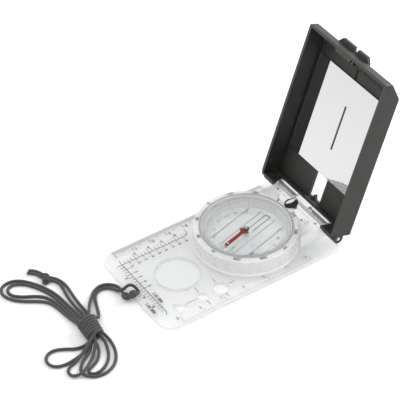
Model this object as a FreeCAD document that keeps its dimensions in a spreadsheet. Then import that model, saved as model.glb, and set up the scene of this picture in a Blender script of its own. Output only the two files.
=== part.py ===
import FreeCAD, Part
import math
import os

from FreeCAD import Placement, Rotation, Vector
from Sketcher import Constraint

# Sighting compass with a mirror lid.  Millimetres.
# X runs across the base plate, Y runs from the lanyard end to the hinge, Z is up.
# The origin is on the axis of the dial, on the flat underside of the plate.

doc = FreeCAD.newDocument("sighting_compass")
sheet = doc.addObject("Spreadsheet::Sheet", "Sizes")
SIZES = [
    ("plate_wide", 62.0), ("plate_front", 68.2), ("plate_back", 36.6), ("plate_thick", 2.2),
    ("corner_front", 8.0), ("corner_back", 3.5), ("plate_chamfer", 0.35),
    ("bore_radius", 21.0), ("counterbore_radius", 22.5), ("counterbore_deep", 1.0),
    ("magnifier_radius", 11.4), ("magnifier_front", 41.4), ("magnifier_dome", 0.8),
    ("stencil_across", 20.6), ("stencil_small_radius", 2.9), ("stencil_small_front", 40.3),
    ("stencil_large_radius", 4.1), ("stencil_large_front", 29.6),
    ("stencil_side", 7.0), ("stencil_triangle_front", 53.3),
    ("lanyard_radius", 1.7), ("lanyard_front", 64.3),
    ("block_half", 20.0), ("block_top", 9.6), ("block_front_radius", 27.7),
    ("barrel_radius", 3.4), ("flat_half", 5.5),
    ("hinge_back", 35.0), ("hinge_high", 7.7), ("pin_radius", 1.0), ("pin_half", 30.0),
    ("lid_open", 71.2), ("lid_half", 30.2), ("lid_deep", 12.7), ("lid_outer", 7.5),
    ("lid_wall", 1.6), ("lid_floor", 1.5), ("lid_start", 1.8), ("lid_end", 89.6),
    ("lid_bevel_long", 8.8), ("lid_round", 2.6), ("lid_side_round", 1.1),
    ("rim_round", 4.0), ("lid_bevel_deep", 8.0), ("ear_inner", 20.3), ("ear_radius", 2.6),
    ("ear_long", 2.4), ("window_half", 4.45), ("window_across", 0.35), ("window_start", 3.8),
    ("window_end", 18.2),
    ("mirror_half", 27.5), ("mirror_start", 18.9), ("mirror_end", 73.9), ("mirror_thick", 0.8),
    ("pad_thick", 0.1), ("tab_end", 92.2), ("tab_thick", 1.6),
    ("bezel_radius", 27.2), ("bezel_low", 2.6), ("bezel_high", 12.5), ("bezel_lip", 25.9),
    ("bezel_inner", 22.25), ("flute_radius", 3.0), ("flute_centre", 29.6), ("flute_count", 30),
    ("cup_radius", 22.2), ("cup_boss", 20.95), ("cup_low", 0.2), ("cup_floor", 1.6),
    ("cup_inner", 19.8), ("cup_ledge", 18.4), ("cup_ledge_high", 6.4), ("cup_high", 12.3),
    ("window_radius", 21.2), ("glass_low", 11.2), ("glass_high", 12.3),
    ("clip_inner", 20.3), ("clip_outer", 22.2), ("clip_low", 0.3), ("clip_high", 0.8),
    ("disc_radius", 19.7), ("disc_high", 7.0), ("needle_high", 9.7), ("needle_thick", 0.2),
    ("needle_long", 15.9), ("hub_radius", 1.5), ("hub_high", 10.85), ("jewel_radius", 0.95),
    ("clino_high", 8.0), ("clino_long", 18.3), ("dial_turn", -75.5), ("needle_turn", -76.0),
    ("clino_turn", -25.0), ("cord_radius", 0.8),
]
for row, (alias, value) in enumerate(SIZES, start=1):
    sheet.set("A%d" % row, alias)
    sheet.set("B%d" % row, repr(value))
    sheet.setAlias("B%d" % row, alias)
doc.recompute()


def size(alias):
    return float(getattr(sheet, alias))


def bind(obj, **cells):
    """Bind properties of an object to expressions of sheet aliases (written as @alias)."""
    for prop, expression in cells.items():
        obj.setExpression(prop.replace("__", "."), expression.replace("@", "Sizes."))
    return obj


# ---------------------------------------------------------------- building blocks
def box(name, wide, deep, high, x="0", y="0", z="0"):
    obj = doc.addObject("Part::Box", name)
    return bind(obj, Length=wide, Width=deep, Height=high, Placement__Base__x=x,
                Placement__Base__y=y, Placement__Base__z=z)


def cylinder(name, radius, high, x="0", y="0", z="0", along=None):
    obj = doc.addObject("Part::Cylinder", name)
    if along == "X":
        obj.Placement = Placement(Vector(), Rotation(Vector(0, 1, 0), 90))
    return bind(obj, Radius=radius, Height=high, Placement__Base__x=x,
                Placement__Base__y=y, Placement__Base__z=z)


def cut(name, base, *tools):
    for number, tool in enumerate(tools):
        obj = doc.addObject("Part::Cut", "%s_%d" % (name, number) if number else name)
        obj.Base, obj.Tool = base, tool
        base = obj
    return base


def fuse(name, *shapes):
    obj = doc.addObject("Part::MultiFuse", name)
    obj.Shapes = list(shapes)
    obj.Refine = True
    return obj


def common(name, one, other):
    obj = doc.addObject("Part::MultiCommon", name)
    obj.Shapes = [one, other]
    return obj


def plane_of(body, role):
    return [f for f in body.Origin.OriginFeatures if f.Role == role][0]


def outline(body, name, role, points, lift=None):
    """A closed sketch of straight lines, each corner held by two driven distances."""
    sketch = body.newObject("Sketcher::SketchObject", name)
    sketch.AttachmentSupport = [(plane_of(body, role), "")]
    sketch.MapMode = "FlatFace"
    if lift:
        bind(sketch, AttachmentOffset__Base__z=lift)
    values = [[float(sheet_value(e)) for e in point] for point in points]
    count = len(points)
    for i in range(count):
        a, b = values[i], values[(i + 1) % count]
        sketch.addGeometry(Part.LineSegment(Vector(a[0], a[1], 0), Vector(b[0], b[1], 0)), False)
    for i in range(count):
        sketch.addConstraint(Constraint("Coincident", i, 2, (i + 1) % count, 1))
    for i in range(count):
        for axis, kind in enumerate(("DistanceX", "DistanceY")):
            index = sketch.addConstraint(Constraint(kind, -1, 1, i, 1, values[i][axis]))
            expression = points[i][axis].replace("@", "Sizes.")
            sketch.setExpression("Constraints[%d]" % index, expression)
    return sketch


def sheet_value(expression):
    """The number that a corner's expression has now, worked out in a spare cell of the sheet."""
    sheet.set("Z1", "=" + expression.replace("@", ""))
    sheet.recompute()
    value = sheet.get("Z1")
    sheet.clear("Z1")
    return getattr(value, "Value", value)


def pad(body, sketch, length, name):
    feature = body.newObject("PartDesign::Pad", name)
    feature.Profile = sketch
    bind(feature, Length=length)
    sketch.Visibility = False
    return feature


def pocket(body, sketch, length, name):
    feature = body.newObject("PartDesign::Pocket", name)
    feature.Profile = sketch
    feature.Reversed = True
    bind(feature, Length=length)
    return feature


def revolve(body, sketch, name):
    feature = body.newObject("PartDesign::Revolution", name)
    feature.Profile = sketch
    feature.ReferenceAxis = (sketch, ["V_Axis"])
    feature.Angle = 360.0
    return feature


def upright_edges(shape, test):
    names = []
    for number, edge in enumerate(shape.Edges, start=1):
        if len(edge.Vertexes) == 2:
            a, b = edge.Vertexes[0].Point, edge.Vertexes[1].Point
            if abs(a.x - b.x) < 1e-6 and abs(a.y - b.y) < 1e-6 and test(a):
                names.append("Edge%d" % number)
    return names


parts = []


def part(obj, label):
    obj.Label = label
    parts.append(obj)
    return obj


def shaped(label, shape, placement=None):
    """A sub-part whose shape is made with Part's own functions from the sheet's sizes."""
    obj = doc.addObject("Part::Feature", label + "_shape")
    obj.Shape = shape
    obj.Placement = placement or Placement()
    return part(obj, label)


# ---------------------------------------------------------------- base plate
plate = doc.addObject("PartDesign::Body", "PlateBody")
side = "@plate_wide / 2"
plate_sketch = outline(plate, "PlateOutline", "XY_Plane", [
    ("-" + side, "-@plate_front"), (side, "-@plate_front"),
    (side, "@plate_back"), ("-" + side, "@plate_back")])
plate_pad = pad(plate, plate_sketch, "@plate_thick", "PlatePad")
doc.recompute()
corners = plate_pad
for name, radius, test in (("FrontCorners", "@corner_front", lambda p: p.y < 0),
                           ("BackCorners", "@corner_back", lambda p: p.y > 0)):
    rounding = plate.newObject("PartDesign::Fillet", name)
    rounding.Base = (corners, upright_edges(corners.Shape, test))
    bind(rounding, Radius=radius)
    doc.recompute()
    corners = rounding
top_face = max(range(len(corners.Shape.Faces)),
               key=lambda i: corners.Shape.Faces[i].CenterOfMass.z) + 1
edge_break = plate.newObject("PartDesign::Chamfer", "EdgeBreak")
edge_break.Base = (corners, ["Face%d" % top_face])
bind(edge_break, Size="@plate_chamfer")
plate.Tip = edge_break
doc.recompute()

# The hinge block stands on the back of the plate and ends in a barrel round the pin.
block = box("Block", "2 * @block_half", "@plate_back - 15", "@block_top - @plate_thick",
            "-@block_half", "15", "@plate_thick")
block_room = cylinder("BlockRoom", "@block_front_radius", "20", z="@plate_thick")
barrel = cylinder("Barrel", "@barrel_radius", "2 * @block_half", "-@block_half",
                  "@hinge_back", "@hinge_high", along="X")
flat = box("BarrelFlat", "2 * @flat_half", "12", "6", "-@flat_half", "@hinge_back - 6",
           "@block_top")
bridge = fuse("Bridge", plate, cut("BlockCut", block, block_room), cut("BarrelCut", barrel, flat))

tools = [
    cylinder("DialBore", "@bore_radius", "6", z="-2"),
    cylinder("ClipRoom", "@counterbore_radius", "@counterbore_deep + 1", z="-1"),
    cylinder("LensHole", "@magnifier_radius", "6", y="-@magnifier_front", z="-2"),
    cylinder("SmallStencil", "@stencil_small_radius", "6", "@stencil_across",
             "-@stencil_small_front", "-2"),
    cylinder("LargeStencil", "@stencil_large_radius", "6", "@stencil_across",
             "-@stencil_large_front", "-2"),
    cylinder("LanyardHole", "@lanyard_radius", "6", y="-@lanyard_front", z="-2"),
    cylinder("PinBore", "@pin_radius", "2 * @block_half + 2", "-@block_half - 1",
             "@hinge_back", "@hinge_high", along="X"),
    # Two narrow slots run along the top of the barrel.
    box("BarrelSlotLeft", "11.6", "1.1", "3", "-18.6", "@hinge_back - 0.7", "@block_top + 0.6"),
    box("BarrelSlotRight", "10.2", "1.1", "3", "8.6", "@hinge_back - 0.7", "@block_top + 0.6"),
]
triangle = doc.addObject("Part::Prism", "TriangleStencil")
triangle.Polygon = 3
triangle.Placement = Placement(Vector(0, 0, 0), Rotation(Vector(0, 0, 1), 90))
bind(triangle, Circumradius="@stencil_side / sqrt(3)", Height="6", Placement__Base__x="@stencil_across",
     Placement__Base__y="-@stencil_triangle_front", Placement__Base__z="-2")
tools.append(triangle)

# The fixed index is a black leaf that stands over the ring on a stem let into the block,
# with a luminous inset.  Two luminous dots are let into the block beside it.
LEAF_LONG, LEAF_WIDE, LEAF_LOW, LEAF_HIGH, LEAF_BACK = 7.8, 6.3, 12.75, 13.5, 27.7
INSET_LONG, INSET_WIDE, INSET_LOW, INSET_ACROSS, INSET_BACK = 6.3, 2.2, 13.1, -1.2, 28.1
STEM_RADIUS, STEM_LOW, STEM_ACROSS, STEM_BACK = 1.1, 8.6, -0.1, 30.3


def lens_prism(name, long, wide, low, high, x, y):
    """A pointed oval prism, long in Y, from two crossing cylinders."""
    radius = (long * long + wide * wide) / (4.0 * wide)
    shift = radius - wide / 2.0
    pair = []
    for sign in (-1, 1):
        obj = doc.addObject("Part::Cylinder", "%s_%s" % (name, "a" if sign < 0 else "b"))
        obj.Radius, obj.Height = radius, high - low
        obj.Placement = Placement(Vector(x + sign * shift, y, low), Rotation())
        pair.append(obj)
    return common(name, *pair)


def dot(name, x, y, radius, low, high):
    obj = doc.addObject("Part::Cylinder", name)
    obj.Radius, obj.Height = radius, high - low
    obj.Placement = Placement(Vector(x, y, low), Rotation())
    return obj


DOT_X, DOT_Y, DOT_RADIUS = 12.6, 28.1, 1.2
tools.append(dot("StemSeat", STEM_ACROSS, STEM_BACK, STEM_RADIUS, STEM_LOW, 14.0))
for sign, word in ((-1, "Left"), (1, "Right")):
    tools.append(dot("DotSeat" + word, sign * DOT_X, DOT_Y, DOT_RADIUS, 9.2, 14.0))
part(cut("BaseplateCut", bridge, *tools), "baseplate")

leaf = lens_prism("Leaf", LEAF_LONG, LEAF_WIDE, LEAF_LOW, LEAF_HIGH, 0.0, LEAF_BACK)
stem = dot("Stem", STEM_ACROSS, STEM_BACK, STEM_RADIUS, STEM_LOW, LEAF_LOW + 0.2)
inset = lens_prism("LeafInset", INSET_LONG, INSET_WIDE, INSET_LOW, 14.0, INSET_ACROSS, INSET_BACK)
part(cut("PointerCut", fuse("PointerFuse", leaf, stem), inset), "index_pointer")
part(lens_prism("PointerLume", INSET_LONG, INSET_WIDE, INSET_LOW, LEAF_HIGH - 0.05, INSET_ACROSS,
                INSET_BACK), "index_lume")
for sign, word in ((-1, "left"), (1, "right")):
    part(dot("Dot_" + word, sign * DOT_X, DOT_Y, DOT_RADIUS, 9.2, 9.75), "lume_dot_" + word)

# The reading lens fills its hole and has a low dome on top.
lens_disc = cylinder("LensDisc", "@magnifier_radius", "@plate_thick", y="-@magnifier_front")
dome = doc.addObject("Part::Sphere", "LensDome")
bind(dome, Radius="(@magnifier_radius^2 + @magnifier_dome^2) / (2 * @magnifier_dome)",
     Placement__Base__y="-@magnifier_front",
     Placement__Base__z="@plate_thick + @magnifier_dome"
                        " - (@magnifier_radius^2 + @magnifier_dome^2) / (2 * @magnifier_dome)")
dome_room = cylinder("DomeRoom", "@magnifier_radius", "3", y="-@magnifier_front",
                     z="@plate_thick")
part(fuse("LensFuse", lens_disc, common("LensCap", dome, dome_room)), "magnifier_lens")

part(cylinder("HingePin", "@pin_radius", "2 * @pin_half", "-@pin_half", "@hinge_back",
              "@hinge_high", along="X"), "hinge_pin")

# ---------------------------------------------------------------- dial
turned = Placement(Vector(), Rotation(Vector(0, 0, 1), size("dial_turn") + 90.0))

ring = doc.addObject("PartDesign::Body", "RingBody")
ring_profile = outline(ring, "RingProfile", "XZ_Plane", [
    ("@bezel_inner", "@bezel_low"), ("@bezel_radius - 0.3", "@bezel_low"),
    ("@bezel_radius", "@bezel_low + 0.4"), ("@bezel_radius", "@bezel_low + 1.4"),
    ("@bezel_radius - 0.3", "@bezel_low + 1.8"), ("@bezel_radius - 0.6", "@bezel_high - 0.7"),
    ("@bezel_lip", "@bezel_high"), ("@bezel_inner + 0.9", "@bezel_high"),
    ("@bezel_inner", "@bezel_high - 0.5")])
revolve(ring, ring_profile, "RingTurn")
doc.recompute()
flute_sketch = ring.newObject("Sketcher::SketchObject", "FluteCircle")
flute_sketch.AttachmentSupport = [(plane_of(ring, "XY_Plane"), "")]
flute_sketch.MapMode = "FlatFace"
bind(flute_sketch, AttachmentOffset__Base__z="@bezel_low + 1.8")
flute_sketch.addGeometry(Part.Circle(Vector(size("flute_centre"), 0, 0), Vector(0, 0, 1),
                                     size("flute_radius")), False)
flute_sketch.addConstraint(Constraint("PointOnObject", 0, 3, -1))
across = flute_sketch.addConstraint(Constraint("DistanceX", -1, 1, 0, 3, size("flute_centre")))
round_ = flute_sketch.addConstraint(Constraint("Radius", 0, size("flute_radius")))
flute_sketch.setExpression("Constraints[%d]" % across, "Sizes.flute_centre")
flute_sketch.setExpression("Constraints[%d]" % round_, "Sizes.flute_radius")
flute = pocket(ring, flute_sketch, "12", "Flute")
doc.recompute()
flutes = ring.newObject("PartDesign::PolarPattern", "Flutes")
flutes.Originals = [flute]
flutes.Axis = (flute_sketch, ["N_Axis"])
for role_axis in ring.Origin.OriginFeatures:
    if role_axis.Role == "Z_Axis":
        flutes.Axis = (role_axis, [""])
flutes.Angle = 360.0
bind(flutes, Occurrences="@flute_count")
ring.Tip = flutes
ring.Placement = turned
part(ring, "bezel_ring")

cup = doc.addObject("PartDesign::Body", "CupBody")
revolve(cup, outline(cup, "CupProfile", "XZ_Plane", [
    ("0", "@cup_low"), ("@cup_boss", "@cup_low"), ("@cup_boss", "@clip_low"),
    ("@clip_inner", "@clip_low"), ("@clip_inner", "@clip_high"), ("@cup_boss", "@clip_high"),
    ("@cup_boss", "@bezel_low"), ("@cup_radius", "@bezel_low"), ("@cup_radius", "@cup_high"),
    ("@window_radius", "@cup_high"), ("@window_radius", "@glass_low"),
    ("@cup_inner", "@glass_low"), ("@cup_inner", "@cup_ledge_high"),
    ("@cup_ledge", "@cup_ledge_high"), ("@cup_ledge", "@cup_floor"), ("0", "@cup_floor")]),
    "CupTurn")
cup.Placement = turned
part(cup, "capsule_cup")

part(cylinder("WindowDisc", "@window_radius", "@glass_high - @glass_low", z="@glass_low"),
     "capsule_window")
clip_blank = cylinder("ClipBlank", "@clip_outer", "@clip_high - @clip_low", z="@clip_low")
clip_bore = cylinder("ClipBore", "@clip_inner", "3", z="-1")
part(cut("ClipCut", clip_blank, clip_bore), "retaining_ring")

# The disc in the capsule carries the orienting lines and two luminous strips.
disc_blank = cylinder("DiscBlank", "@disc_radius", "@disc_high - @cup_ledge_high",
                      z="@cup_ledge_high")
pin_hole = cylinder("DiscHole", "0.6", "3", z="@cup_ledge_high - 1")
part(cut("DiscCut", disc_blank, pin_hole), "orienting_disc")
for sign, word in ((-1, "left"), (1, "right")):
    strip = Part.makeBox(1.5, 5.2, 0.15, Vector(-0.75 + sign * 2.3, 11.2, size("disc_high")))
    shaped("north_lume_" + word, strip,
           Placement(Vector(), Rotation(Vector(0, 0, 1), size("dial_turn") - 90.0)))

# The pivot stands in the floor of the capsule.
pivot_base = cylinder("PivotBase", "0.6", "@disc_high + 0.6 - @cup_floor", z="@cup_floor")
pivot_cone = doc.addObject("Part::Cone", "PivotCone")
bind(pivot_cone, Radius1="0.6", Radius2="0.08", Height="2.8",
     Placement__Base__z="@disc_high + 0.6")
part(fuse("PivotFuse", pivot_base, pivot_cone), "pivot_pin")

# ---------------------------------------------------------------- needle
north = Placement(Vector(), Rotation(Vector(0, 0, 1), size("needle_turn")))
needle = doc.addObject("PartDesign::Body", "NeedleBody")
needle_sketch = outline(needle, "NeedleOutline", "XY_Plane", [
    ("-1.6", "-0.9"), ("0.4", "-0.9"), ("0.9", "-2.5"), ("1.9", "-2.5"), ("3.4", "-1.0"),
    ("@needle_long - 0.8", "-0.9"), ("@needle_long - 0.2", "-0.55"), ("@needle_long", "0"),
    ("@needle_long - 0.2", "0.55"), ("@needle_long - 0.8", "0.9"), ("3.4", "1.0"),
    ("1.9", "2.5"), ("0.9", "2.5"), ("0.4", "0.9"), ("-1.6", "0.9")], lift="@needle_high")
pad(needle, needle_sketch, "@needle_thick", "NeedlePad")
doc.recompute()
jewel_room = cylinder("NeedleEye", "0.5", "2", z="@needle_high - 1")
needle_cut = cut("NeedleCut", needle, jewel_room)
needle_cut.Placement = north
part(needle_cut, "compass_needle")
needle_dot = dot("NeedleDot", 13.8, 0.0, 0.5, size("needle_high") + size("needle_thick"),
                 size("needle_high") + size("needle_thick") + 0.08)
needle_dot.Placement = north.multiply(Placement(
    Vector(13.8, 0, size("needle_high") + size("needle_thick")), Rotation()))
part(needle_dot, "needle_lume")

hub_low = "@needle_high + @needle_thick"
hub_blank = cylinder("HubBlank", "@hub_radius", "@hub_high - @needle_high - @needle_thick",
                     z=hub_low)
hub_bevel = doc.addObject("Part::Chamfer", "HubBevel")
hub_bevel.Base = hub_blank
doc.recompute()
rim = [i + 1 for i, e in enumerate(hub_blank.Shape.Edges)
       if len(e.Vertexes) == 1 and e.BoundBox.ZMin > size("hub_high") - 0.01]
hub_bevel.Edges = [(i, 0.3, 0.3) for i in rim]
hub_room = cylinder("HubRoom", "0.45", "0.9", z="@needle_high")
part(cut("HubCut", hub_bevel, hub_room), "needle_hub")
part(cylinder("JewelDisc", "@jewel_radius", "0.25", z="@hub_high"), "pivot_jewel")

# ---------------------------------------------------------------- clinometer
hang = Placement(Vector(), Rotation(Vector(0, 0, 1), size("clino_turn")))
clino = doc.addObject("PartDesign::Body", "ClinoBody")
clino_sketch = outline(clino, "ClinoOutline", "XY_Plane", [
    ("-2.2", "-1.4"), ("2.0", "-1.7"), ("13.5", "-3.2"), ("15.6", "-2.2"),
    ("15.6", "2.2"), ("13.5", "3.2"), ("2.0", "1.7"), ("-2.2", "1.4")], lift="@clino_high")
pad(clino, clino_sketch, "0.3", "ClinoPad")
doc.recompute()
clino_eye = cylinder("ClinoEye", "0.68", "2", z="@clino_high - 1")
clino_cut = cut("ClinoCut", clino, clino_eye)
clino_cut.Placement = hang
part(clino_cut, "clinometer_arm")
tip_bar = Part.makeBox(2.7, 0.7, 0.3, Vector(15.6, -0.35, size("clino_high")))
tip_top = Part.makeBox(0.6, 2.6, 0.3, Vector(15.7, -1.3, size("clino_high")))
shaped("clinometer_tip", tip_bar.fuse(tip_top).removeSplitter(), hang)

# ---------------------------------------------------------------- lid
# The lid is drawn lying on its outer face, with the hinge axis on its X axis and
# its own Y running to the free end; then it is turned up about the hinge.
angle = math.radians(size("lid_open"))
lift = Vector(0, math.sin(angle), -math.cos(angle)) * size("lid_outer")
lid_place = Placement(Vector(0, size("hinge_back"), size("hinge_high")) + lift,
                      Rotation(Vector(1, 0, 0), size("lid_open")))

lid = doc.addObject("PartDesign::Body", "LidBody")
pad(lid, outline(lid, "LidOutline", "YZ_Plane", [
    ("@lid_start", "0"), ("@lid_end - @lid_bevel_long", "0"), ("@lid_end", "@lid_bevel_deep"),
    ("@lid_end", "@lid_deep"), ("@lid_start", "@lid_deep")], lift="-@lid_half"),
    "2 * @lid_half", "LidPad")
doc.recompute()


def edges_where(shape, wanted):
    """Names of the edges whose two ends meet a condition."""
    names = []
    for number, edge in enumerate(shape.Edges, start=1):
        if len(edge.Vertexes) == 2:
            a, b = edge.Vertexes[0].Point, edge.Vertexes[1].Point
            if wanted(a, b):
                names.append("Edge%d" % number)
    return names


def cross_edge(a, b):
    return abs(a.x - b.x) > 1 and a.y > 50 and a.z < 11


def side_edge(a, b):
    at_rim = min(a.z, b.z) > size("lid_deep") - 0.01
    at_hinge = max(a.y, b.y) < size("lid_start") + 0.01
    return abs(a.x - b.x) < 1e-6 and not at_rim and not at_hinge


# The two cross edges of the bevel are well rounded, the edges down the sides less so.
cross_round = lid.newObject("PartDesign::Fillet", "LidCrossRound")
cross_round.Base = (doc.getObject("LidPad"), edges_where(lid.Shape, cross_edge))
bind(cross_round, Radius="@lid_round")
lid.Tip = cross_round
doc.recompute()
side_round = lid.newObject("PartDesign::Fillet", "LidSideRound")
side_round.Base = (cross_round, edges_where(lid.Shape, side_edge))
bind(side_round, Radius="@lid_side_round")
lid.Tip = side_round
doc.recompute()

# The hollow follows the bevel at a wall's thickness, and is open towards the hinge.
hollow = doc.addObject("PartDesign::Body", "HollowBody")
pad(hollow, outline(hollow, "HollowOutline", "YZ_Plane", [
    ("@lid_start - 1", "@lid_floor"), ("@lid_end - @lid_bevel_long - 1.4", "@lid_floor"),
    ("@lid_end - @lid_wall", "@lid_bevel_deep + 0.9"), ("@lid_end - @lid_wall", "@lid_deep + 1"),
    ("@lid_start - 1", "@lid_deep + 1")], lift="-@lid_half + @lid_wall"),
    "2 * (@lid_half - @lid_wall)", "HollowPad")
window = box("SightWindow", "2 * @window_half", "@window_end - @window_start", "4",
             "@window_across - @window_half", "@window_start", "-1")
groove = box("SightGroove", "1.6", "5.5", "2", "-0.8", "@mirror_end + 0.3", "@lid_floor - 0.7")
shell = cut("LidShell", lid, hollow, window, groove)

# A low wall runs along the hinge side, clear of the barrel, and joins the two ears.
web = box("HingeWall", "2 * @lid_half - 2", "1.4", "3.7", "-@lid_half + 1", "@lid_start", "0.8")

ears = []
for sign, word in ((-1, "Left"), (1, "Right")):
    start = "-@lid_half" if sign < 0 else "@ear_inner"
    wide = "@lid_half - @ear_inner"
    ears.append(cylinder("EarRound" + word, "@ear_radius", wide, start, "0", "@lid_outer",
                         along="X"))
    ears.append(box("EarBlock" + word, wide, "@ear_long", "@lid_deep - 1.2 - @lid_outer + 2.4",
                    start, "0.2", "@lid_outer - 2.4"))
    ears.append(box("EarLip" + word, wide, "@ear_long - 1.2", "1.2", start, "1.4",
                    "@lid_deep - 1.2"))

# Two sight tabs stand on the bevel with a notch between them.
TAB_LOW = size("lid_bevel_deep") - size("tab_thick")
tab_points = [(-13.0, 84.5), (-13.0, 89.4), (-10.4, 92.2), (-1.5, 92.2), (-1.1, 90.2),
              (1.1, 90.2), (1.5, 92.2), (8.6, 92.2), (10.4, 89.4), (10.4, 84.5)]
tabs = doc.addObject("Part::Feature", "SightTabs")
tab_wire = Part.makePolygon([Vector(x, y, TAB_LOW) for x, y in tab_points + tab_points[:1]])
tab_solid = Part.Face(tab_wire).extrude(Vector(0, 0, size("tab_thick")))
tabs.Shape = tab_solid
# A low peg marks the middle of the window, and a catch stands inside the free rim.
peg = doc.addObject("Part::Feature", "SightPeg")
peg_wire = Part.makePolygon([Vector(-1.5, 3.7, 0), Vector(1.5, 3.7, 0), Vector(0.15, 6.1, 0),
                             Vector(-0.15, 6.1, 0), Vector(-1.5, 3.7, 0)])
peg.Shape = Part.Face(peg_wire).extrude(Vector(0, 0, size("lid_floor")))
catch = box("Catch", "11.8", "@lid_wall + 1.6", "1.8", "-8.8", "@lid_end - @lid_wall - 1.6",
            "@lid_deep - 1.8")
catch_hook = box("CatchHook", "1.1", "2.6", "3.0", "4.0", "@lid_end - @lid_wall - 1.9",
                 "@lid_deep - 3.0")
corner_tools = []
for sign, word in ((-1, "Left"), (1, "Right")):
    start = "-@lid_half - 1" if sign < 0 else "@lid_half - @rim_round"
    block = box("RimCorner" + word, "@rim_round + 1", "@rim_round + 1", "3", start,
                "0.2 - 1", "@lid_outer + @ear_radius + 0.05")
    middle = "-@lid_half + @rim_round" if sign < 0 else "@lid_half - @rim_round"
    keep = cylinder("RimRound" + word, "@rim_round", "5", middle, "0.2 + @rim_round",
                    "@lid_outer + @ear_radius - 0.5")
    corner_tools.append(cut("RimCut" + word, block, keep))
lid_fused = fuse("LidFuse", shell, web, tabs, peg, catch, catch_hook, *ears)
lid_solid = cut("LidRimCut", lid_fused, *corner_tools)
pin_room = cylinder("LidPinRoom", "@pin_radius + 0.05", "2 * @lid_half + 4",
                    "-@lid_half - 2", "0", "@lid_outer", along="X")
lid_cut = cut("LidCut", lid_solid, pin_room)
lid_cut.Placement = lid_place
part(lid_cut, "lid_cover")

pad_sheet = box("MirrorPadBox", "2 * @mirror_half - 4", "@mirror_end - @mirror_start - 4",
                "@pad_thick")
mirror_box = box("MirrorBox", "2 * @mirror_half", "@mirror_end - @mirror_start",
                 "@mirror_thick")
for obj, label, inset, low in ((pad_sheet, "mirror_pad", 2.0, size("lid_floor")),
                               (mirror_box, "mirror", 0.0,
                                size("lid_floor") + size("pad_thick"))):
    for axis in "xyz":
        obj.setExpression("Placement.Base." + axis, None)
    offset = Vector(-size("mirror_half") + inset, size("mirror_start") + inset, low)
    obj.Placement = lid_place.multiply(Placement(offset, Rotation()))
    part(obj, label)

# ---------------------------------------------------------------- lanyard
RADIUS = size("cord_radius")
DIAMETER = 2 * RADIUS


def cord_tube(label, route):
    """A round cord: straight runs joined by tangent arcs, with the radii printed."""
    points = [Vector(*p) for p in route]
    edges, radii, start = [], [], points[0]
    for i in range(1, len(points) - 1):
        into, out = points[i] - points[i - 1], points[i + 1] - points[i]
        shorter = min(into.Length, out.Length)
        into.normalize()
        out.normalize()
        turn = into.getAngle(out)
        reach = 0.45 * shorter
        radii.append(reach / math.tan(turn / 2))
        a, b = points[i] - into * reach, points[i] + out * reach
        bisector = (out - into)
        bisector.normalize()
        centre_far = radii[-1] / math.cos(turn / 2)
        centre = points[i] + bisector * centre_far
        middle = centre - bisector * radii[-1]
        edges.append(Part.LineSegment(start, a).toShape())
        edges.append(Part.Arc(a, middle, b).toShape())
        start = b
    edges.append(Part.LineSegment(start, points[-1]).toShape())
    path = Part.Wire(edges)
    heading = points[1] - points[0]
    section = Part.Wire([Part.makeCircle(RADIUS, points[0], heading)])
    tube = path.makePipeShell([section], True, False)
    wanted = math.pi * RADIUS ** 2 * path.Length
    print("%s: length %.1f, volume %.4f of section x length, smallest radius %.2f"
          % (label, path.Length, tube.Volume / wanted, min(radii)))
    return shaped(label, tube)


def flat_solid(outline_points, low, high):
    """A closed plate with a smooth outline: the outer shape of a bundle of cord."""
    curve = Part.BSplineCurve()
    curve.interpolate([Vector(x, y, low) for x, y in outline_points], PeriodicFlag=True)
    return Part.Face(Part.Wire([curve.toShape()])).extrude(Vector(0, 0, high - low))


def rounded_barrel(start, end, radius, rounding):
    """A drawn-tight knot: a short barrel between two points with its ends rounded over."""
    start, end = Vector(*start), Vector(*end)
    barrel_shape = Part.makeCylinder(radius, (end - start).Length, start, end - start)
    rims = [e for e in barrel_shape.Edges if len(e.Vertexes) == 1]
    return barrel_shape.makeFillet(rounding, rims)


hank = flat_solid([(-21.5, -99.5), (-20.2, -95.4), (-15.0, -92.2), (-3.5, -90.3), (5.4, -88.6),
                   (13.4, -92.2), (17.6, -97.8), (15.8, -102.4), (9.8, -104.2),
                   (3.6, -102.6), (-7.6, -103.2), (-17.0, -103.6)], 0.0, 6.4)
left_loops = flat_solid([(-18.5, -96.4), (-29.5, -99.0), (-36.4, -103.4), (-42.0, -107.8),
                         (-44.0, -113.6), (-42.0, -119.8), (-36.0, -121.6), (-29.8, -119.6),
                         (-24.4, -113.8), (-19.4, -105.6), (-15.8, -101.5)], 0.0, 3.8)
right_loops = flat_solid([(11.0, -94.0), (17.6, -91.4), (25.2, -92.6), (32.0, -95.6),
                          (36.4, -100.8), (37.6, -107.2), (35.2, -113.6), (31.4, -119.6),
                          (25.6, -121.6), (21.2, -124.6), (15.4, -126.8), (10.0, -124.8),
                          (8.6, -118.6), (12.2, -111.2), (12.4, -103.4), (11.0, -98.0)],
                         0.0, 3.8)
shaped("hank_body", hank)
shaped("hank_loops_left", left_loops.cut(hank))
shaped("hank_loops_right", right_loops.cut(hank))

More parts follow.
